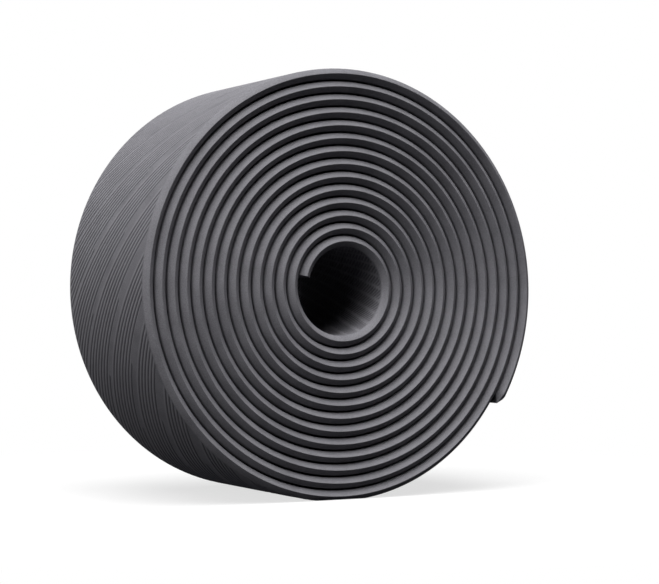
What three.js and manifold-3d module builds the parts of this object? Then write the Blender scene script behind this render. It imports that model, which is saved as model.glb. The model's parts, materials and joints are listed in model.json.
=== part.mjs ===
// A roll of handlebar tape: one long soft strip wound on itself into an open spiral.
//
// The roll's axis lies along Y and its front face looks towards -Y. Seen from the front the
// strip winds outwards clockwise. It stands on its rim, where the soft tape is pressed flat.
// Lengths are in millimetres and angles in degrees.

import * as THREE from 'three';
import Module from 'manifold-3d';

const wasm = await Module();
wasm.setup();

// The strip.
const TAPE_WIDTH = 32;
const TAPE_THICKNESS = 1.68;
const EDGE_BEVEL = 0.8;

// The winding, counted from the strip's inner end.
const BORE_RADIUS = 6.2;
const TURN_GAP = 0.32;
const TURNS = 13.547;
const INNER_END_ANGLE = 165;

// The outer end thins to a blunt edge, and its corners are cut off at a slant.
const TAIL_TAPER = 1.2;
const TAIL_EDGE = 0.1;
const CORNER_CUT_LENGTH = 1.7;
const CORNER_CUT_WIDTH = 1.1;

// Fine grooves cross the strip's outer side at a slant. They come in groups with a plain band
// between, and a group has more grooves at the back edge than at the front one.
const GROOVE_PITCH = 1.185;
const GROOVE_DEPTH = 0.2;
const GROOVE_ANGLE = 46;
const GROOVES_AT_FRONT = 6;
const GROOVES_AT_BACK = 8;
const PLAIN_BAND = 0.486;
const FIRST_GROOVE_FROM_END = 9.77;

// Where the roll stands its own weight presses it flat.
const FLAT_SPOT_WIDTH = 9;

// How far a straight facet may lie inside the true curve, how many facets a groove has along
// its way across the strip, and how near to the edge of the grooved part a facet may start.
const CHORD_ERROR = 0.1;
const GROOVE_STEPS = 6;
const LEAST_STEP = 0.05;

const FULL_TURN = 2 * Math.PI;
const TURN_PITCH = TAPE_THICKNESS + TURN_GAP;
const INNER_RADIUS = BORE_RADIUS + TAPE_THICKNESS / 2;
const RADIUS_PER_RADIAN = TURN_PITCH / FULL_TURN;
const WOUND_ANGLE = FULL_TURN * TURNS;
const TAPE_LENGTH = lengthAt(WOUND_ANGLE);
const FACE = TAPE_THICKNESS / 2;
const SHOULDER = TAPE_WIDTH / 2 - EDGE_BEVEL;
const GROUP_PITCH = GROOVES_AT_BACK * GROOVE_PITCH + PLAIN_BAND;
const SLANT = 1 / Math.tan(THREE.MathUtils.degToRad(GROOVE_ANGLE));

/** Radius of the middle of the strip after it has turned by an angle in radians. */
function radiusAt(wound) {
  return INNER_RADIUS + RADIUS_PER_RADIAN * wound;
}

/** Length of strip wound up to an angle in radians. */
function lengthAt(wound) {
  return INNER_RADIUS * wound + (RADIUS_PER_RADIAN * wound ** 2) / 2;
}

/** Angle in radians at which a length of strip has been wound up. */
function woundAt(length) {
  const root = Math.sqrt(INNER_RADIUS ** 2 + 2 * RADIUS_PER_RADIAN * length);
  return (root - INNER_RADIUS) / RADIUS_PER_RADIAN;
}

/** A surface of triangles that grows line by line. Points that coincide are one point. */
class Shell {
  constructor() {
    this.positions = [];
    this.faces = [];
    this.index = new Map();
  }

  /** The point at a length of strip, `out` from the strip's middle and `along` the axis. */
  wound(length, out, along) {
    const turned = woundAt(length);
    const angle = THREE.MathUtils.degToRad(INNER_END_ANGLE) - turned;
    const radius = radiusAt(turned) + out;
    return this.point(radius * Math.cos(angle), along, radius * Math.sin(angle));
  }

  point(x, y, z) {
    const key = [x, y, z].map((value) => value.toFixed(4)).join();
    if (!this.index.has(key)) {
      this.index.set(key, this.index.size);
      this.positions.push(x, y, z);
    }
    return this.index.get(key);
  }

  triangle(a, b, c) {
    if (a !== b && b !== c && c !== a) {
      this.faces.push(a, b, c);
    }
  }

  distance(a, b) {
    const [from, to] = [a, b].map((i) => new THREE.Vector3().fromArray(this.positions, 3 * i));
    return from.distanceTo(to);
  }

  /** Joins two lines of points that run side by side, each time by the shorter diagonal. */
  join(left, right) {
    let i = 0;
    let j = 0;
    while (i + 1 < left.length || j + 1 < right.length) {
      const leftwards = i + 1 < left.length ? this.distance(left[i + 1], right[j]) : Infinity;
      const rightwards = j + 1 < right.length ? this.distance(left[i], right[j + 1]) : Infinity;
      if (leftwards < rightwards) {
        this.triangle(left[i], right[j], left[i + 1]);
        i += 1;
      } else {
        this.triangle(left[i], right[j], right[j + 1]);
        j += 1;
      }
    }
  }

  /** Closes a ring of points with a fan from its first one. */
  close(ring) {
    for (let k = 1; k + 1 < ring.length; k++) {
      this.triangle(ring[0], ring[k], ring[k + 1]);
    }
  }

  solid() {
    return new wasm.Manifold(new wasm.Mesh({
      numProp: 3,
      vertProperties: new Float32Array(this.positions),
      triVerts: new Uint32Array(this.faces),
    }));
  }
}

/**
 * The strip's section at a length of strip: a flat band whose long edges are bevelled on both
 * sides to a ridge. Each corner is its distance out from the strip's middle and its place along
 * the roll's axis. The inner side runs from ridge to ridge and the outer one from shoulder to
 * shoulder, both from front to back.
 */
function sectionAt(length) {
  const toEnd = TAPE_LENGTH - length;
  const taper = THREE.MathUtils.clamp(toEnd / TAIL_TAPER, TAIL_EDGE / TAPE_THICKNESS, 1);
  const cut = 1 - Math.min(toEnd / CORNER_CUT_LENGTH, 1);
  const ridge = TAPE_WIDTH / 2 - CORNER_CUT_WIDTH * cut;
  const shoulder = ridge - EDGE_BEVEL * taper;
  const face = FACE * taper;
  return {
    inner: [[0, -ridge], [-face, -shoulder], [-face, shoulder], [0, ridge]],
    outer: [[face, -shoulder], [face, shoulder]],
  };
}

/** Lengths of strip where it has a section, closer together where it is wound tighter. */
function stations(tail) {
  const end = woundAt(tail);
  const angles = [];
  for (let wound = 0; wound < end; wound += 2 * Math.acos(1 - CHORD_ERROR / radiusAt(wound))) {
    angles.push(wound);
  }
  const stretch = end / angles.pop();
  const even = angles.map((wound) => lengthAt(wound * stretch));
  return [...even, tail, TAPE_LENGTH - TAIL_TAPER, TAPE_LENGTH];
}

/**
 * How deep a groove of a group is at a step of its way from the front edge to the back one.
 * The grooves that the front edge lacks begin one after another, evenly spread.
 */
function grooveDepth(groove, step) {
  const missing = GROOVES_AT_BACK - GROOVES_AT_FRONT;
  const order = groove - GROOVES_AT_FRONT + 1;
  const begin = (Math.max(order, 0) * GROOVE_STEPS) / (missing + 1);
  return step >= begin ? GROOVE_DEPTH : 0;
}

/**
 * A line across the strip's outer side, from the front shoulder to the back one, that starts
 * at a length of strip and runs at the grooves' slant. It stays between two lengths, and where
 * a groove meets a bevelled edge it runs out through the bevel.
 */
function slantingLine(shell, lead, groove, [start, end]) {
  return Array.from({ length: GROOVE_STEPS + 1 }, (_, step) => {
    const across = (2 * step) / GROOVE_STEPS - 1;
    const length = lead - SLANT * SHOULDER * (across + 1);
    if (length < start + LEAST_STEP || length > end - LEAST_STEP) {
      return shell.wound(THREE.MathUtils.clamp(length, start, end), FACE, SHOULDER * across);
    }
    const depth = groove === null ? 0 : grooveDepth(groove, step);
    const runOut = Math.abs(across) === 1 ? (EDGE_BEVEL * depth) / FACE : 0;
    return shell.wound(length, FACE - depth, (SHOULDER + runOut) * across);
  });
}

/** Lines across the grooved part of the strip, from its start to its end: rib, groove, rib. */
function groovedPart(shell, [start, end]) {
  const reach = end + 2 * SLANT * SHOULDER;
  const firstLead = TAPE_LENGTH - FIRST_GROOVE_FROM_END + GROOVE_PITCH / 2;
  const groupsPast = Math.ceil((reach - firstLead) / GROUP_PITCH);
  const lines = [];
  for (let lead = firstLead + groupsPast * GROUP_PITCH; lead > start; lead -= GROUP_PITCH) {
    for (let half = 0; half <= 2 * GROOVES_AT_BACK; half++) {
      const groove = half % 2 === 1 ? (half - 1) / 2 : null;
      lines.push(slantingLine(shell, lead - (half * GROOVE_PITCH) / 2, groove, [start, end]));
    }
  }
  lines.push(slantingLine(shell, start, null, [start, end]));
  return lines.reverse();
}

/** The whole strip: its section carried along the winding, closed at both ends. */
function woundStrip() {
  const shell = new Shell();
  const tail = TAPE_LENGTH - CORNER_CUT_LENGTH;
  const underTail = lengthAt(WOUND_ANGLE - FULL_TURN) - CORNER_CUT_LENGTH;
  const lengths = stations(tail);
  const placed = (length, side) => (
    sectionAt(length)[side].map(([out, along]) => shell.wound(length, out, along))
  );
  const inner = lengths.map((length) => placed(length, 'inner'));
  const outer = [
    ...lengths.filter((length) => length < underTail).map((length) => placed(length, 'outer')),
    ...groovedPart(shell, [underTail, tail]),
    ...lengths.filter((length) => length > tail).map((length) => placed(length, 'outer')),
  ];
  for (let i = 0; i + 1 < inner.length; i++) {
    shell.join(inner[i + 1], inner[i]);
  }
  for (let i = 0; i + 1 < outer.length; i++) {
    shell.join(outer[i], outer[i + 1]);
  }
  const edge = (rows, k) => rows.map((row) => row.at(k));
  shell.join(edge(outer, 0), edge(inner, 0));
  shell.join(edge(inner, -1), edge(outer, -1));
  const end = (k) => [...inner.at(k), ...outer.at(k).toReversed()];
  shell.close(end(0).reverse());
  shell.close(end(-1));
  return shell.solid();
}

/** A box as a closed body, centred on a point. */
function block(width, depth, height, centre) {
  const box = new THREE.BoxGeometry(width, depth, height).toNonIndexed();
  box.translate(...centre);
  const corner = box.getAttribute('position');
  const shell = new Shell();
  const points = Array.from({ length: corner.count }, (_, i) => (
    shell.point(corner.getX(i), corner.getY(i), corner.getZ(i))
  ));
  for (let i = 0; i < points.length; i += 3) {
    shell.triangle(points[i], points[i + 1], points[i + 2]);
  }
  return shell.solid();
}

/** Height of the flat spot, measured from the roll's axis. */
function flatSpotHeight() {
  const down = THREE.MathUtils.degToRad(INNER_END_ANGLE + 90);
  const turnsToBottom = Math.floor((WOUND_ANGLE - down) / FULL_TURN);
  const rim = radiusAt(down + FULL_TURN * turnsToBottom) + FACE;
  return -Math.sqrt(rim ** 2 - (FLAT_SPOT_WIDTH / 2) ** 2);
}

/** The roll, pressed flat where it stands, with the middle of its foot at the origin. */
function rollGeometry() {
  const floor = flatSpotHeight();
  const reach = 2 * radiusAt(WOUND_ANGLE) + 2 * TURN_PITCH;
  const below = block(reach, reach, TURN_PITCH, [0, 0, floor - TURN_PITCH / 2]);
  const mesh = woundStrip().subtract(below).getMesh();
  const geometry = new THREE.BufferGeometry();
  geometry.setAttribute('position', new THREE.BufferAttribute(mesh.vertProperties, 3));
  geometry.setIndex(new THREE.BufferAttribute(mesh.triVerts, 1));
  geometry.computeBoundingBox();
  const box = geometry.boundingBox;
  geometry.translate(-(box.min.x + box.max.x) / 2, 0, -floor);
  return geometry;
}

const tapeFoam = new THREE.MeshStandardMaterial({
  name: 'tape_foam',
  color: 0x5c5c60,
  roughness: 0.62,
  metalness: 0,
  flatShading: true,
});

const roll = new THREE.Group();
const tape = new THREE.Mesh(rollGeometry(), tapeFoam);
tape.name = 'tape_roll';
roll.add(tape);

export default roll;
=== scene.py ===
"""Looks of a roll of handlebar tape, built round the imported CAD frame.

The tape is one strip of soft foam. Here it is cut flat and a Geometry Nodes tree presses its
grooves and winds it into the roll. The tape's sizes are in millimetres up to the last step of
that tree, and the studio's are in metres.
"""

import json
import logging
import math
from dataclasses import dataclass, field
from enum import Enum
from typing import Any

import bpy
import numpy as np
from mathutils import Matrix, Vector

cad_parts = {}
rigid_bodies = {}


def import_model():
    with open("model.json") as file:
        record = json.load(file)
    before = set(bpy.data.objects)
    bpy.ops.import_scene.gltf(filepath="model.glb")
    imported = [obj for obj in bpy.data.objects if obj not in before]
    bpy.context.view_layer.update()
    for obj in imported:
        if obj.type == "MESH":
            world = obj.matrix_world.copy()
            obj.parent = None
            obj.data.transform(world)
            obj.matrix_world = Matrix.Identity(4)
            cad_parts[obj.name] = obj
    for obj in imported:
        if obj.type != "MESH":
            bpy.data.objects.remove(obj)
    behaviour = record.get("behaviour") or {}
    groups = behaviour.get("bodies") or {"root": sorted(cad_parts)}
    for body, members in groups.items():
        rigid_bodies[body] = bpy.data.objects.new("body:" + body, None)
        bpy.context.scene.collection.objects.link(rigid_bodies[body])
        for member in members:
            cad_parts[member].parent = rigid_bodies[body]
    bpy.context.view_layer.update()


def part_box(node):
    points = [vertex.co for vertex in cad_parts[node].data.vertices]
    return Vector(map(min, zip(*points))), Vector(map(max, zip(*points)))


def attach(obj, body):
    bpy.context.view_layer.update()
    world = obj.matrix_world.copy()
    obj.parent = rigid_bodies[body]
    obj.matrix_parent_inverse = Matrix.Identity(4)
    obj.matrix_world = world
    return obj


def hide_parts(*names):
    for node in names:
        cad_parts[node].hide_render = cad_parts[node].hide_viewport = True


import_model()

LOG = logging.getLogger("tape_roll")
NODE = "tape_roll"
BODY = "root"
PRESSED = "pressed"
MM = 0.001
FULL_TURN = 2 * math.pi
# A groove pattern starts this much later than a column of points, so that rounding never
# tips a point over to the next groove.
HAIR = 0.01
# A point lies on a broad side from this share of the side's distance outwards.
ON_SIDE = 0.999


class Side(Enum):
    """The two broad sides of the strip, with the corner where each one's rows begin."""

    INNER = 1
    OUTER = 4


def linear(hex_colour: str) -> tuple[float, float, float, float]:
    """Turn an sRGB hex colour into linear values.

    Args:
        hex_colour: Six hex digits with a leading hash.

    Returns:
        Linear red, green and blue, and an alpha of 1.
    """
    channels = [int(hex_colour[i : i + 2], 16) / 255 for i in (1, 3, 5)]
    steps = [c / 12.92 if c <= 0.04045 else ((c + 0.055) / 1.055) ** 2.4 for c in channels]
    return (steps[0], steps[1], steps[2], 1.0)


def towards(azimuth: float, elevation: float) -> Vector:
    """Work out the direction in which a lamp or the camera stands.

    Args:
        azimuth: Degrees round the roll from its front, rising to the right.
        elevation: Degrees over the horizon.

    Returns:
        The direction from the roll, of length 1.
    """
    turn, rise = math.radians(azimuth), math.radians(elevation)
    level = math.cos(rise)
    return Vector((math.sin(turn) * level, -math.cos(turn) * level, math.sin(rise)))


def add_node(
    tree: bpy.types.NodeTree,
    kind: str,
    settings: dict[str, Any] | None = None,
    inputs: dict[int | str, Any] | None = None,
) -> bpy.types.Node:
    """Add a node to a tree, with its settings and what goes into its sockets.

    Args:
        tree: The shader or geometry tree.
        kind: The node's type name.
        settings: Attributes of the node.
        inputs: By socket name or number, a plain value or the output socket to link from.

    Returns:
        The new node.
    """
    node = tree.nodes.new(kind)
    for name, value in (settings or {}).items():
        setattr(node, name, value)
    for key, value in (inputs or {}).items():
        if isinstance(value, bpy.types.NodeSocket):
            tree.links.new(value, node.inputs[key])
        else:
            node.inputs[key].default_value = value
    return node


class Formula:
    """Arithmetic on sockets, which adds one Math node for each step."""

    def __init__(self, tree: bpy.types.NodeTree) -> None:
        """Keep the tree that the steps go into."""
        self.tree = tree

    def do(self, operation: str, *terms: Any) -> bpy.types.NodeSocket:
        """Add one step.

        Args:
            operation: The Math node's operation.
            terms: Numbers or sockets, in the node's order.

        Returns:
            The socket with the result.
        """
        settings = {"operation": operation}
        return add_node(self.tree, "ShaderNodeMath", settings, dict(enumerate(terms))).outputs[0]


@dataclass(frozen=True)
class Tape:
    """Sizes of the strip and of its winding, in millimetres and degrees.

    Towards its outer end the strip thins over tail_taper to the thickness tail_edge, and its
    corners are cut. At the bore it is wound tighter_inside closer than a plain spiral, and the
    rim follows the spiral.
    """

    thickness: float = 1.68
    edge_bevel: float = 0.8
    bore_radius: float = 6.2
    turn_gap: float = 0.32
    turns: float = 13.5504
    inner_end_angle: float = 165.0
    tail_taper: float = 1.2
    tail_edge: float = 0.1
    corner_cut_length: float = 1.7
    corner_cut_width: float = 0.8
    flat_spot_width: float = 9.0
    tighter_inside: float = 0.15

    @property
    def width(self) -> float:
        """Width of the strip, which is the CAD node's depth."""
        low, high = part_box(NODE)
        return (high.y - low.y) / MM

    @property
    def face(self) -> float:
        """Distance of either side from the strip's middle."""
        return self.thickness / 2

    @property
    def shoulder(self) -> float:
        """Distance from mid width to where the edge bevel starts."""
        return self.width / 2 - self.edge_bevel

    @property
    def pitch(self) -> float:
        """Distance from turn to turn."""
        return self.thickness + self.turn_gap

    @property
    def inner_radius(self) -> float:
        """Radius of the strip's middle at its inner end."""
        return self.bore_radius + self.face

    @property
    def length(self) -> float:
        """Length of the whole strip."""
        return self.length_at(self.turns)

    def radius_at(self, turn: float) -> float:
        """Radius of the strip's middle after a number of turns."""
        return self.inner_radius + self.pitch * turn

    def length_at(self, turn: float) -> float:
        """Length of strip in a number of turns."""
        return FULL_TURN * (self.inner_radius * turn + self.pitch * turn**2 / 2)

    def rim_at(self, angle: float) -> float:
        """Radius of the roll's outside.

        Args:
            angle: Place round the roll in degrees, anticlockwise from +X seen from the front.

        Returns:
            The distance from the roll's axis to the outer side of the outermost turn.
        """
        first = (self.inner_end_angle - angle) / 360
        return self.radius_at(first + math.floor(self.turns - first)) + self.face

    @property
    def axis(self) -> tuple[float, float]:
        """Place of the roll's axis: x, and height over the floor."""
        height = math.sqrt(self.rim_at(-90) ** 2 - (self.flat_spot_width / 2) ** 2)
        return (self.rim_at(180) - self.rim_at(0)) / 2, height


@dataclass(frozen=True)
class Grooves:
    """Slanting grooves pressed into the strip's outer side, in millimetres and degrees.

    They lie in groups with a plain band between. From late_number on, the grooves of a group
    begin part way across, each late_spacing further than the one before. The land between two
    grooves rises by lift at its middle. A groove ends gently, over end_length.
    """

    pitch: float = 1.185
    depth: float = 0.1
    lift: float = 0.03
    half_width: float = 0.29
    angle: float = 45.58
    in_group: int = 8
    plain_band: float = 0.486
    first_from_end: float = 10.51
    late_start: float = -6.0
    late_spacing: float = 11.3
    late_number: int = 6
    end_length: float = 0.6

    @property
    def group(self) -> float:
        """Distance from group to group along the strip."""
        return self.in_group * self.pitch + self.plain_band

    @property
    def slant(self) -> float:
        """How far a groove runs back along the strip for each millimetre across it."""
        return 1 / math.tan(math.radians(self.angle))

    def first_lead(self, tape: Tape) -> float:
        """Length of strip where the last group's first land meets the front shoulder."""
        return tape.length - self.first_from_end + self.pitch / 2

    def across_group(self, steps: int) -> np.ndarray:
        """Lay out places within one group of grooves, with most of them inside a groove.

        Args:
            steps: How many places one groove has from lip to lip.

        Returns:
            Lengths from the start of the group, in rising order.
        """
        across = np.linspace(-self.half_width, self.half_width, steps)
        one = np.concatenate([[0.0], self.pitch / 2 + across])
        group = np.concatenate([one + self.pitch * i for i in range(self.in_group)])
        return np.append(group, self.in_group * self.pitch)


@dataclass(frozen=True)
class WallRelief:
    """Moulded relief on the strip's inner side, in millimetres.

    Smooth strips run nearly across the tape, one in every band_pitch, and fine slanting ribs
    lie between them. A slant is how far a line runs along the tape for each millimetre across.
    """

    band_pitch: float = 2.29
    band_slant: float = 0.31
    band_start: float = 1.18
    strip_share: float = 0.25
    rib_pitch: float = 0.63
    rib_slant: float = 0.555
    rib_depth: float = 0.11
    margin: float = 0.3


@dataclass
class Stretch:
    """A stretch of the strip that is made as one piece, from one length to another.

    Its points lie in columns across the strip, a length of column apart. The corners of its
    section are rounded, and an edge steeper than sharp_above degrees renders sharp.
    """

    name: str
    start: float
    end: float
    tape: Tape = field(default_factory=Tape)
    grooves: Grooves = field(default_factory=Grooves)
    relief: WallRelief = field(default_factory=WallRelief)
    column: float = 0.7
    rounding: float = 0.12
    rounding_points: int = 3
    sharp_above: float = 50.0
    grooved: bool = False
    ribbed: bool = False

    def leads(self, low: float, high: float) -> np.ndarray:
        """Lay out the columns, which run across the strip.

        Args:
            low: First length of strip that has to be covered.
            high: Last length of strip that has to be covered.

        Returns:
            Lengths of strip where the columns meet the front shoulder, in rising order.
        """
        return np.linspace(low, high, math.ceil((high - low) / self.column) + 1)

    def lag(self, across: np.ndarray) -> np.ndarray:
        """How far back along the strip a column has run at places across it."""
        return np.zeros_like(across)

    def side_rows(self, side: Side) -> np.ndarray:
        """Places across the strip, in rising order, of the rows within a side."""
        return np.array([])

    def section(self) -> np.ndarray:
        """Lay out the strip's section with rounded corners.

        Returns:
            One row for each point, with its distance out and its place across, from the
            front ridge round by the inner side, the back ridge and the outer side.
        """
        half, face, shoulder = self.tape.width / 2, self.tape.face, self.tape.shoulder
        inner = [(-face, -shoulder), (-face, shoulder)]
        outer = [(face, shoulder), (face, -shoulder)]
        corners = np.array([(0, -half), *inner, (0, half), *outer])
        points = []
        for i, corner in enumerate(corners):
            sides = [corners[i - 1] - corner, corners[(i + 1) % len(corners)] - corner]
            start, end = (corner + self.rounding * side / np.linalg.norm(side) for side in sides)
            for t in np.linspace(0, 1, self.rounding_points):
                points.append((1 - t) ** 2 * start + 2 * t * (1 - t) * corner + t**2 * end)
            if i == Side.INNER.value:
                points += [(-face, y) for y in self.side_rows(Side.INNER)]
            if i == Side.OUTER.value:
                points += [(face, y) for y in self.side_rows(Side.OUTER)[::-1]]
        return np.array(points)

    def flat_strip(self) -> bpy.types.Mesh:
        """Cut the stretch out flat.

        Returns:
            A mesh with X along the strip, Y across it and Z out of it, closed at both ends.
        """
        out, across = self.section().T
        lag = self.lag(across)
        leads = self.leads(self.start + lag.min(), self.end + lag.max())
        along = np.clip(leads[:, None] - lag[None, :], self.start, self.end)
        along[0], along[-1] = self.start, self.end
        across, out = (np.broadcast_to(values, along.shape) for values in (across, out))
        points = np.stack([along, *self.trimmed(along, across, out)], axis=-1)
        index = np.arange(along.size).reshape(along.shape)
        following = np.roll(index, -1, axis=1)
        quads = np.stack([index[:-1], following[:-1], following[1:], index[1:]], axis=-1)
        faces = quads.reshape(-1, 4).tolist()
        faces += [index[0][::-1].tolist(), index[-1].tolist()]
        mesh = bpy.data.meshes.new(self.name)
        mesh.from_pydata(points.reshape(-1, 3).tolist(), [], faces)
        return mesh

    def trimmed(
        self, along: np.ndarray, across: np.ndarray, out: np.ndarray
    ) -> tuple[np.ndarray, np.ndarray]:
        """Thin the strip towards its outer end and cut that end's corners.

        Args:
            along: Lengths of strip of the points.
            across: Their places across the strip.
            out: Their distances out of it.

        Returns:
            The places across and the distances out, trimmed.
        """
        tape = self.tape
        to_end = tape.length - along
        taper = np.clip(to_end / tape.tail_taper, tape.tail_edge / tape.thickness, 1)
        cut = 1 - np.minimum(to_end / tape.corner_cut_length, 1)
        ridge = tape.width / 2 - tape.corner_cut_width * cut
        bevel = tape.edge_bevel * taper
        on_bevel = ridge - (tape.width / 2 - np.abs(across)) * taper
        on_side = np.abs(across) * (ridge - bevel) / tape.shoulder
        placed = np.where(np.abs(across) > tape.shoulder, on_bevel, on_side)
        return np.sign(across) * placed, out * taper

    def build(self, winding: "WindingTree", finish: bpy.types.Material) -> bpy.types.Object:
        """Make the piece: cut it flat, wind it, and tie it to the frame.

        Args:
            winding: The tree that presses and winds a flat strip.
            finish: The material.

        Returns:
            The finished object.
        """
        objects = bpy.context.scene.collection.objects
        flat = bpy.data.objects.new(self.name + "_flat", self.flat_strip())
        objects.link(flat)
        winding.apply_to(flat, self, finish)
        graph = bpy.context.evaluated_depsgraph_get()
        mesh = bpy.data.meshes.new_from_object(flat.evaluated_get(graph))
        bpy.data.objects.remove(flat)
        mesh.name = self.name
        mesh.set_sharp_from_angle(angle=math.radians(self.sharp_above))
        piece = bpy.data.objects.new(self.name, mesh)
        objects.link(piece)
        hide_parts(NODE)
        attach(piece, BODY)
        triangles = sum(len(face.vertices) - 2 for face in mesh.polygons)
        LOG.info("%s: %d triangles", self.name, triangles)
        return piece


@dataclass
class GroovedStretch(Stretch):
    """The outermost turn, whose columns follow the grooves of its outer side."""

    groove_steps: int = 7
    row: float = 1.3
    inner_row: float = 2.4
    end_rows: int = 4
    grooved: bool = True

    def leads(self, low: float, high: float) -> np.ndarray:
        """Lay out the columns, with most of them inside a groove."""
        group, places = self.grooves.group, self.grooves.across_group(self.groove_steps)
        first = self.grooves.first_lead(self.tape)
        numbers = range(math.floor((first - high) / group) - 1, math.ceil((first - low) / group) + 1)
        leads = np.sort(np.concatenate([first - places - group * n for n in numbers]))
        spare = self.grooves.pitch
        return leads[(leads > low - spare) & (leads < high + spare)]

    def lag(self, across: np.ndarray) -> np.ndarray:
        """How far back along the strip a groove has run at places across it."""
        return self.grooves.slant * (across + self.tape.shoulder)

    def side_rows(self, side: Side) -> np.ndarray:
        """Places across the strip of the rows, which are closest where a groove ends."""
        grooves, limit = self.grooves, self.tape.shoulder - self.grooves.end_length
        if side is Side.INNER:
            return np.linspace(-limit, limit, round(2 * limit / self.inner_row))
        steps = np.linspace(0, grooves.end_length, self.end_rows)
        rows = np.linspace(-limit, limit, round(2 * limit / self.row))
        ends = [limit + steps[1:-1], -limit - steps[1:-1]]
        for late in range(grooves.in_group - grooves.late_number):
            start = grooves.late_start + grooves.late_spacing * late
            middle = start + grooves.end_length / 2
            rows = rows[np.abs(rows - middle) > (grooves.end_length + self.row) / 2]
            ends.append(start + steps)
        return np.sort(np.concatenate([rows, *ends]))


@dataclass
class BoreStretch(Stretch):
    """The innermost turn, whose columns follow the fine ribs of its inner side."""

    columns_per_rib: int = 4
    row: float = 0.3
    outer_row: float = 1.0
    ribbed: bool = True

    def leads(self, low: float, high: float) -> np.ndarray:
        """Lay out the columns in step with the ribs."""
        column = self.relief.rib_pitch / self.columns_per_rib
        return column * np.arange(math.floor(low / column), math.ceil(high / column) + 1)

    def lag(self, across: np.ndarray) -> np.ndarray:
        """How far back along the strip a rib has run, which is below nought as it runs on."""
        return -self.relief.rib_slant * (across + self.tape.shoulder)

    def side_rows(self, side: Side) -> np.ndarray:
        """Places across the strip of the rows, which are close on the inner side."""
        limit = self.tape.shoulder - self.relief.margin
        row = self.row if side is Side.INNER else self.outer_row
        return np.linspace(-limit, limit, round(2 * limit / row))


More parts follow.
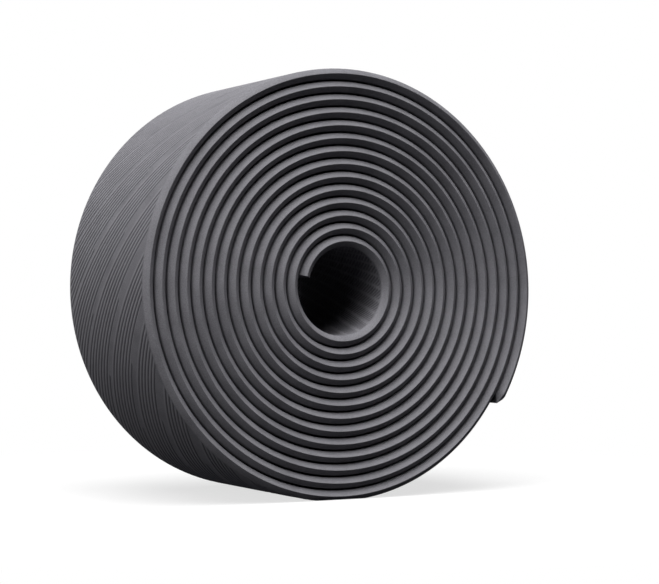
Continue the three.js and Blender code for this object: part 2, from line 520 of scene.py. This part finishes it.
class WindingTree:
    """The Geometry Nodes tree that presses the grooves and winds a flat strip into a roll."""

    def __init__(self) -> None:
        """Build the tree."""
        self.tree = bpy.data.node_groups.new("wind_tape", "GeometryNodeTree")
        self.tree.is_modifier = True
        sockets = [("Strip", "Geometry")]
        sockets += [(name, "Float") for name in self.sizes(Stretch("none", 0, 1))]
        sockets += [("Finish", "Material")]
        for name, kind in sockets:
            self.tree.interface.new_socket(name, in_out="INPUT", socket_type="NodeSocket" + kind)
        self.tree.interface.new_socket("Roll", in_out="OUTPUT", socket_type="NodeSocketGeometry")
        self.given = add_node(self.tree, "NodeGroupInput").outputs
        self.do = Formula(self.tree).do
        self.connect()

    @staticmethod
    def sizes(stretch: Stretch) -> dict[str, float]:
        """List the tree's named sizes for a stretch of strip."""
        tape, grooves, relief = stretch.tape, stretch.grooves, stretch.relief
        axis_x, axis_height = tape.axis
        return {
            "Inner radius": tape.inner_radius,
            "Radius per radian": tape.pitch / FULL_TURN,
            "Inner end angle": math.radians(tape.inner_end_angle),
            "Axis across": axis_x,
            "Axis height": axis_height,
            "Length": tape.length,
            "Tighter inside": tape.tighter_inside,
            "Side": tape.face * ON_SIDE,
            "Shoulder": tape.shoulder,
            "Groove pitch": grooves.pitch,
            "Groove depth": grooves.depth if stretch.grooved else 0.0,
            "Land lift": grooves.lift if stretch.grooved else 0.0,
            "Groove half width": grooves.half_width,
            "Groove slant": grooves.slant,
            "Group pitch": grooves.group,
            "First lead": grooves.first_lead(tape) + HAIR,
            "Late start": grooves.late_start,
            "Late spacing": grooves.late_spacing,
            "Late number": grooves.late_number,
            "End length": grooves.end_length,
            "Band pitch": relief.band_pitch,
            "Band slant": relief.band_slant,
            "Band start": relief.band_start,
            "Strip share": relief.strip_share,
            "Rib pitch": relief.rib_pitch,
            "Rib slant": relief.rib_slant,
            "Rib depth": relief.rib_depth if stretch.ribbed else 0.0,
            "Relief limit": tape.shoulder - relief.margin,
        }

    def groove_depth(
        self, along: bpy.types.NodeSocket, across: bpy.types.NodeSocket
    ) -> bpy.types.NodeSocket:
        """Work out how deep the outer side is pressed at a point of the strip.

        Args:
            along: Length of strip.
            across: Place across it.

        Returns:
            The depth, which is below nought on the raised land between two grooves.
        """
        do, given = self.do, self.given
        from_front = do("ADD", across, given["Shoulder"])
        lead = do("MULTIPLY_ADD", from_front, given["Groove slant"], along)
        back = do("SUBTRACT", given["First lead"], lead)
        in_group = do("FLOORED_MODULO", back, given["Group pitch"])
        counted = do("DIVIDE", in_group, given["Groove pitch"])
        number = do("FLOOR", counted)
        offset = do("SUBTRACT", do("SUBTRACT", counted, number), 0.5)
        late = do("SUBTRACT", number, given["Late number"])
        begin = do("MULTIPLY_ADD", late, given["Late spacing"], given["Late start"])
        late_end = do("DIVIDE", do("SUBTRACT", across, begin), given["End length"])
        late_end = do("MAXIMUM", late_end, do("LESS_THAN", number, given["Late number"]))
        edge = do("SUBTRACT", given["Shoulder"], do("ABSOLUTE", across))
        edge_end = do("DIVIDE", edge, given["End length"])
        open_share = do("MINIMUM", do("MAXIMUM", do("MINIMUM", late_end, edge_end), 0.0), 1.0)
        closed = do("SUBTRACT", 1.0, open_share)
        beside = do("MULTIPLY", offset, given["Groove pitch"])
        beside = do("DIVIDE", beside, given["Groove half width"])
        squares = do("MULTIPLY_ADD", beside, beside, do("MULTIPLY", closed, closed))
        share = do("MAXIMUM", do("SUBTRACT", 1.0, squares), 0.0)
        pressed = do("MULTIPLY", do("MULTIPLY", share, share), given["Groove depth"])
        from_groove = do("MULTIPLY", offset, 2.0)
        raised = do("MULTIPLY", do("MULTIPLY", from_groove, from_groove), given["Land lift"])
        return do("SUBTRACT", pressed, do("MULTIPLY", raised, open_share))

    def rib_depth(
        self, along: bpy.types.NodeSocket, across: bpy.types.NodeSocket
    ) -> bpy.types.NodeSocket:
        """Work out how deep the inner side lies between its fine ribs at a point of the strip.

        Args:
            along: Length of strip.
            across: Place across it.

        Returns:
            The depth.
        """
        do, given = self.do, self.given
        skewed = do("MULTIPLY_ADD", across, given["Band slant"], along)
        skewed = do("SUBTRACT", skewed, given["Band start"])
        beside = do("PINGPONG", do("DIVIDE", skewed, given["Band pitch"]), 0.5)
        ribbed = do("GREATER_THAN", beside, do("MULTIPLY", given["Strip share"], 0.5))
        clear = do("LESS_THAN", do("ABSOLUTE", across), given["Relief limit"])
        run = do("MULTIPLY", do("ADD", across, given["Shoulder"]), given["Rib slant"])
        counted = do("DIVIDE", do("SUBTRACT", along, run), given["Rib pitch"])
        wave = do("MULTIPLY", do("PINGPONG", counted, 0.5), 2.0)
        depth = do("MULTIPLY", wave, given["Rib depth"])
        return do("MULTIPLY", depth, do("MULTIPLY", ribbed, clear))

    def wound(
        self, along: bpy.types.NodeSocket, out: bpy.types.NodeSocket
    ) -> tuple[bpy.types.NodeSocket, bpy.types.NodeSocket]:
        """Work out where a point of the strip lies in the roll that stands on the floor.

        Args:
            along: Length of strip.
            out: Distance out of its middle.

        Returns:
            The point's x and its height, in millimetres.
        """
        do, given = self.do, self.given
        grown = do("MULTIPLY", do("MULTIPLY", along, given["Radius per radian"]), 2.0)
        square = do("MULTIPLY_ADD", given["Inner radius"], given["Inner radius"], grown)
        middle = do("SQRT", square)
        turned = do("SUBTRACT", middle, given["Inner radius"])
        turned = do("DIVIDE", turned, given["Radius per radian"])
        angle = do("SUBTRACT", given["Inner end angle"], turned)
        radius = do("ADD", middle, out)
        spare = do("SUBTRACT", 1.0, do("DIVIDE", along, given["Length"]))
        radius = do("SUBTRACT", radius, do("MULTIPLY", spare, given["Tighter inside"]))
        x = do("MULTIPLY_ADD", radius, do("COSINE", angle), given["Axis across"])
        z = do("MULTIPLY_ADD", radius, do("SINE", angle), given["Axis height"])
        return x, do("MAXIMUM", z, 0.0)

    def connect(self) -> None:
        """Add the tree's nodes and links."""
        tree, do, given = self.tree, self.do, self.given
        place = add_node(tree, "GeometryNodeInputPosition").outputs[0]
        along, across, out = add_node(tree, "ShaderNodeSeparateXYZ", inputs={0: place}).outputs
        outside = do("GREATER_THAN", out, given["Side"])
        inside = do("GREATER_THAN", do("MULTIPLY", out, -1.0), given["Side"])
        outer_depth = do("MULTIPLY", self.groove_depth(along, across), outside)
        inner_depth = do("MULTIPLY", self.rib_depth(along, across), inside)
        pressed = do("ADD", do("SUBTRACT", out, outer_depth), inner_depth)
        x, height = self.wound(along, pressed)
        rolled = add_node(tree, "ShaderNodeCombineXYZ", inputs={0: x, 1: across, 2: height})
        metres = add_node(
            tree, "ShaderNodeVectorMath", {"operation": "SCALE"}, {0: rolled.outputs[0], "Scale": MM}
        )
        depth = do("ADD", outer_depth, inner_depth)
        steps = [
            ("StoreNamedAttribute", {"Name": PRESSED, "Value": depth}),
            ("SetPosition", {"Position": metres.outputs[0]}),
            ("MergeByDistance", {"Distance": MM * MM}),
            ("SetShadeSmooth", {}),
            ("RealizeInstances", {}),
            ("SetMaterial", {"Material": given["Finish"]}),
        ]
        geometry = given["Strip"]
        for kind, inputs in steps:
            step = add_node(tree, "GeometryNode" + kind, inputs={"Geometry": geometry, **inputs})
            geometry = step.outputs[0]
        add_node(tree, "NodeGroupOutput", inputs={0: geometry})

    def apply_to(
        self, flat: bpy.types.Object, stretch: Stretch, finish: bpy.types.Material
    ) -> None:
        """Put the tree on a flat strip as a modifier, with its sizes set.

        Args:
            flat: The flat strip's object.
            stretch: The stretch that it is.
            finish: The material.
        """
        modifier = flat.modifiers.new("wind_tape", "NODES")
        modifier.node_group = self.tree
        values: dict[str, Any] = {**self.sizes(stretch), "Finish": finish}
        for item in self.tree.interface.items_tree:
            if item.in_out == "INPUT" and item.name in values:
                modifier[item.identifier] = values[item.name]


@dataclass(frozen=True)
class FoamFinish:
    """Satin skin of moulded closed-cell polyurethane foam.

    The eye reads a matt charcoal grey with a soft sheen, a fine grain of closed pores and
    slightly uneven colour. Shade is painted darker into the grooves and light painted paler onto
    the lands between them. Sizes are in millimetres. The grain is about as coarse as one pixel
    of the photograph, or it would not show.
    """

    name: str = "polyurethane_foam_skin"
    dark: str = "#6a696e"
    colour: str = "#77767b"
    pale: str = "#828186"
    tone_reach: tuple[float, float] = (0.34, 0.66)
    # Painted shade: the grooves are darkened towards this colour, fully at the depth below.
    pressed: str = "#5a595e"
    painted_shade_depth: float = 0.085
    # Painted light: the raised lands are paled towards this colour, fully at the height below.
    raised: str = "#8c8b90"
    painted_light_height: float = 0.03
    roughness: tuple[float, float] = (0.62, 0.74)
    roughness_reach: tuple[float, float] = (0.3, 0.7)
    specular: float = 0.25
    grain: float = 0.16
    grain_detail: float = 3.0
    grain_depth: float = 0.026
    grain_share: float = 0.65
    mottle: float = 3.5
    mottle_detail: float = 2.0

    def make(self) -> bpy.types.Material:
        """Build the material.

        Returns:
            The material.
        """
        material = bpy.data.materials.new(self.name)
        material.use_nodes = True
        tree = material.node_tree
        tree.nodes.clear()
        do = Formula(tree).do
        place = add_node(tree, "ShaderNodeTexCoord").outputs["Object"]
        noise_inputs = [
            {"Vector": place, "Scale": 1 / (size * MM), "Detail": detail}
            for size, detail in ((self.grain, self.grain_detail), (self.mottle, self.mottle_detail))
        ]
        pores, clouds = (
            add_node(tree, "ShaderNodeTexNoise", inputs=inputs).outputs[0] for inputs in noise_inputs
        )
        rough = add_node(
            tree,
            "ShaderNodeMapRange",
            inputs=dict(enumerate([clouds, *self.roughness_reach, *self.roughness])),
        )
        height = do("MULTIPLY", pores, self.grain_depth)
        bump = add_node(
            tree, "ShaderNodeBump", inputs={"Height": height, "Distance": MM, "Strength": 1.0}
        )
        shader_inputs = {
            "Base Color": self.toned(tree, pores, clouds),
            "Roughness": rough.outputs[0],
            "Specular IOR Level": self.specular,
            "Normal": bump.outputs[0],
        }
        shader = add_node(tree, "ShaderNodeBsdfPrincipled", inputs=shader_inputs)
        add_node(tree, "ShaderNodeOutputMaterial", inputs={0: shader.outputs[0]})
        return material

    def toned(
        self,
        tree: bpy.types.NodeTree,
        pores: bpy.types.NodeSocket,
        clouds: bpy.types.NodeSocket,
    ) -> bpy.types.NodeSocket:
        """Mix the foam's colour from its grain, with shade painted into the grooves and light
        painted onto the lands by how deep the strip is pressed there.

        Args:
            tree: The material's tree.
            pores: The fine pattern, from 0 to 1.
            clouds: The broad pattern, from 0 to 1.

        Returns:
            The socket with the colour.
        """
        do = Formula(tree).do
        broad = do("MULTIPLY", clouds, 1 - self.grain_share)
        tone = do("MULTIPLY_ADD", pores, self.grain_share, broad)
        ramp = add_node(tree, "ShaderNodeValToRGB", inputs={0: tone})
        stops = ramp.color_ramp.elements
        for stop, position, colour in zip(stops, self.tone_reach, (self.dark, self.pale)):
            stop.position, stop.color = position, linear(colour)
        stops.new(sum(self.tone_reach) / 2).color = linear(self.colour)
        depth = add_node(tree, "ShaderNodeAttribute", {"attribute_name": PRESSED}).outputs["Fac"]
        colour = ramp.outputs[0]
        # Painted shade darkens the grooves by their depth, and painted light pales the raised lands
        # by their height.
        for full_depth, there in (
            (-self.painted_light_height, self.raised),
            (self.painted_shade_depth, self.pressed),
        ):
            share = do("MAXIMUM", do("MINIMUM", do("DIVIDE", depth, full_depth), 1.0), 0.0)
            inputs = {0: share, 6: colour, 7: linear(there)}
            mixed = add_node(tree, "ShaderNodeMix", {"data_type": "RGBA"}, inputs)
            colour = mixed.outputs[2]
        return colour


@dataclass(frozen=True)
class Lamp:
    """A square soft light aimed at the middle of the roll, in metres and degrees.

    Its level is how bright a white surface renders that faces it squarely.
    """

    name: str
    azimuth: float
    elevation: float
    level: float
    size: float = 1.5
    distance: float = 3.0

    def place(self, target: Vector) -> bpy.types.Object:
        """Put the light in the scene.

        Args:
            target: What it is aimed at.

        Returns:
            The light's object.
        """
        back = towards(self.azimuth, self.elevation)
        data = bpy.data.lights.new(self.name, "AREA")
        data.shape = "SQUARE"
        data.size = self.size
        data.energy = self.level * (math.pi * self.distance) ** 2
        light = bpy.data.objects.new(self.name, data)
        light.location = target + back * self.distance
        light.rotation_euler = (-back).to_track_quat("-Z", "Y").to_euler()
        bpy.context.scene.collection.objects.link(light)
        return light


@dataclass
class Studio:
    """The white surroundings, the lights and the camera, in metres and degrees.

    What the camera sees is white. What lights the roll is dimmer: the world's fill_level and the
    floor's bounce_level. Past white_beyond the floor shows plain white, and inside white_from
    it shows the roll's shadow by shadow_share.
    """

    white: str = "#ffffff"
    fill_level: float = 0.01
    floor_size: float = 3.0
    floor_drop: float = 0.00002
    floor_colour: str = "#f2f2f2"
    bounce_colour: str = "#f0f0ff"
    bounce_level: float = 0.034
    white_from: float = 0.04
    white_beyond: float = 0.1
    shadow_share: float = 0.3
    lamps: tuple[Lamp, ...] = (
        Lamp("key_light", -58.0, 58.0, 0.54),
        Lamp("upper_light", -30.0, 75.0, 0.36),
        Lamp("upper_right_light", 20.0, 75.0, 0.37),
        Lamp("left_light", -60.0, 28.0, 0.2),
        Lamp("front_light", 0.0, 52.0, 0.27),
        Lamp("side_light", -90.0, 4.0, 0.22),
        Lamp("right_light", 60.0, 35.0, 0.07),
        Lamp("back_light", 180.0, 65.0, 0.13),
    )
    view_azimuth: float = -28.616
    view_elevation: float = -0.468
    view_distance: float = 0.30119
    view_front: float = 0.01607
    turned_left: float = 0.0084
    turned_down: float = 0.0021
    focal_pixels: float = 1932.9
    photo_width: int = 659
    sensor_width: float = 36.0
    nearest_seen: float = 0.01

    @staticmethod
    def by_camera(
        tree: bpy.types.NodeTree, unseen: bpy.types.Node, seen: bpy.types.Node
    ) -> bpy.types.Node:
        """Show the camera's own rays one thing, and rays that only carry light another.

        Args:
            tree: The tree that it goes into.
            unseen: What lights the roll.
            seen: What the camera sees.

        Returns:
            The node that mixes the two.
        """
        own = add_node(tree, "ShaderNodeLightPath").outputs["Is Camera Ray"]
        inputs = {0: own, 1: unseen.outputs[0], 2: seen.outputs[0]}
        return add_node(tree, "ShaderNodeMixShader", inputs=inputs)

    def make_world(self) -> None:
        """Give the world a low even light and a white look."""
        world = bpy.data.worlds.new("studio_world")
        bpy.context.scene.world = world
        world.use_nodes = True
        tree = world.node_tree
        tree.nodes.clear()
        fill, white = (
            add_node(tree, "ShaderNodeBackground", inputs={0: linear(self.white), 1: level})
            for level in (self.fill_level, 1.0)
        )
        mixed = self.by_camera(tree, fill, white)
        add_node(tree, "ShaderNodeOutputWorld", inputs={0: mixed.outputs[0]})

    def make_paper(self) -> bpy.types.Material:
        """Make the floor's white paper, which keeps a faint shadow and is clear from below.

        Returns:
            The material.
        """
        material = bpy.data.materials.new("studio_paper")
        material.use_nodes = True
        tree = material.node_tree
        tree.nodes.clear()
        paper = add_node(tree, "ShaderNodeBsdfDiffuse", inputs={0: linear(self.floor_colour)})
        glow = add_node(tree, "ShaderNodeEmission", inputs={0: linear(self.white), 1: 1.0})
        place = add_node(tree, "ShaderNodeTexCoord").outputs["Object"]
        distance = add_node(tree, "ShaderNodeVectorMath", {"operation": "LENGTH"}, {0: place})
        reach = [self.white_from, self.white_beyond, 1 - self.shadow_share, 1.0]
        far = add_node(
            tree,
            "ShaderNodeMapRange",
            {"interpolation_type": "SMOOTHSTEP"},
            dict(enumerate([distance.outputs["Value"], *reach])),
        )
        shown_inputs = {0: far.outputs[0], 1: paper.outputs[0], 2: glow.outputs[0]}
        shown = add_node(tree, "ShaderNodeMixShader", inputs=shown_inputs)
        bounce_inputs = {0: linear(self.bounce_colour), 1: self.bounce_level}
        bounce = add_node(tree, "ShaderNodeEmission", inputs=bounce_inputs)
        above = self.by_camera(tree, bounce, shown)
        clear = add_node(tree, "ShaderNodeBsdfTransparent")
        from_below = add_node(tree, "ShaderNodeNewGeometry").outputs["Backfacing"]
        either_inputs = {0: from_below, 1: above.outputs[0], 2: clear.outputs[0]}
        either = add_node(tree, "ShaderNodeMixShader", inputs=either_inputs)
        add_node(tree, "ShaderNodeOutputMaterial", inputs={0: either.outputs[0]})
        return material

    def make_floor(self) -> None:
        """Lay the floor a hair under the roll's flat spot, so that the two don't coincide."""
        half, height = self.floor_size / 2, -self.floor_drop
        signs = ((-1, -1), (1, -1), (1, 1), (-1, 1))
        mesh = bpy.data.meshes.new("floor")
        mesh.from_pydata([(x * half, y * half, height) for x, y in signs], [], [(0, 1, 2, 3)])
        mesh.materials.append(self.make_paper())
        floor = bpy.data.objects.new("floor", mesh)
        bpy.context.scene.collection.objects.link(floor)

    def make_camera(self, axis: Vector) -> None:
        """Put the camera where the photograph was taken from.

        Args:
            axis: The middle of the roll's axis.
        """
        back = towards(self.view_azimuth, self.view_elevation)
        right = towards(self.view_azimuth + 90, 0)
        above = back.cross(right)
        ahead = -back - right * self.turned_left - above * self.turned_down
        data = bpy.data.cameras.new("camera")
        data.sensor_width = self.sensor_width
        data.lens = self.focal_pixels * self.sensor_width / self.photo_width
        data.clip_start = self.nearest_seen
        camera = bpy.data.objects.new("camera", data)
        camera.location = axis + Vector((0, -self.view_front, 0)) + back * self.view_distance
        camera.rotation_euler = ahead.to_track_quat("-Z", "Y").to_euler()
        bpy.context.scene.collection.objects.link(camera)
        bpy.context.scene.camera = camera

    def build(self, tape: Tape) -> None:
        """Make the surroundings round the roll.

        Args:
            tape: The strip, for the place of its axis.
        """
        axis_x, axis_height = tape.axis
        axis = Vector((axis_x * MM, 0, axis_height * MM))
        self.make_world()
        self.make_floor()
        for lamp in self.lamps:
            lamp.place(axis)
        self.make_camera(axis)
        bpy.context.scene.view_settings.view_transform = "Standard"


@dataclass
class Roll:
    """The whole roll, as the stretches of strip that it is made in."""

    tape: Tape = field(default_factory=Tape)
    finish: FoamFinish = field(default_factory=FoamFinish)
    bore_turns: float = 1.05
    outer_turns: float = 1.01

    def stretches(self) -> list[Stretch]:
        """List the stretches from the bore outwards."""
        turns = [0.0, self.bore_turns, self.tape.turns - self.outer_turns, self.tape.turns]
        cuts = [self.tape.length_at(turn) for turn in turns]
        return [
            BoreStretch("tape_bore_turn", cuts[0], cuts[1]),
            Stretch("tape_wound_turns", cuts[1], cuts[2]),
            GroovedStretch("tape_outer_turn", cuts[2], cuts[3]),
        ]

    def build(self) -> None:
        """Make every stretch."""
        winding = WindingTree()
        foam = self.finish.make()
        for stretch in self.stretches():
            stretch.build(winding, foam)


def main() -> None:
    """Build the studio and the roll."""
    logging.basicConfig(level=logging.INFO, format="%(name)s: %(message)s")
    roll = Roll()
    Studio().build(roll.tape)
    roll.build()


if __name__ == "__main__":
    main()
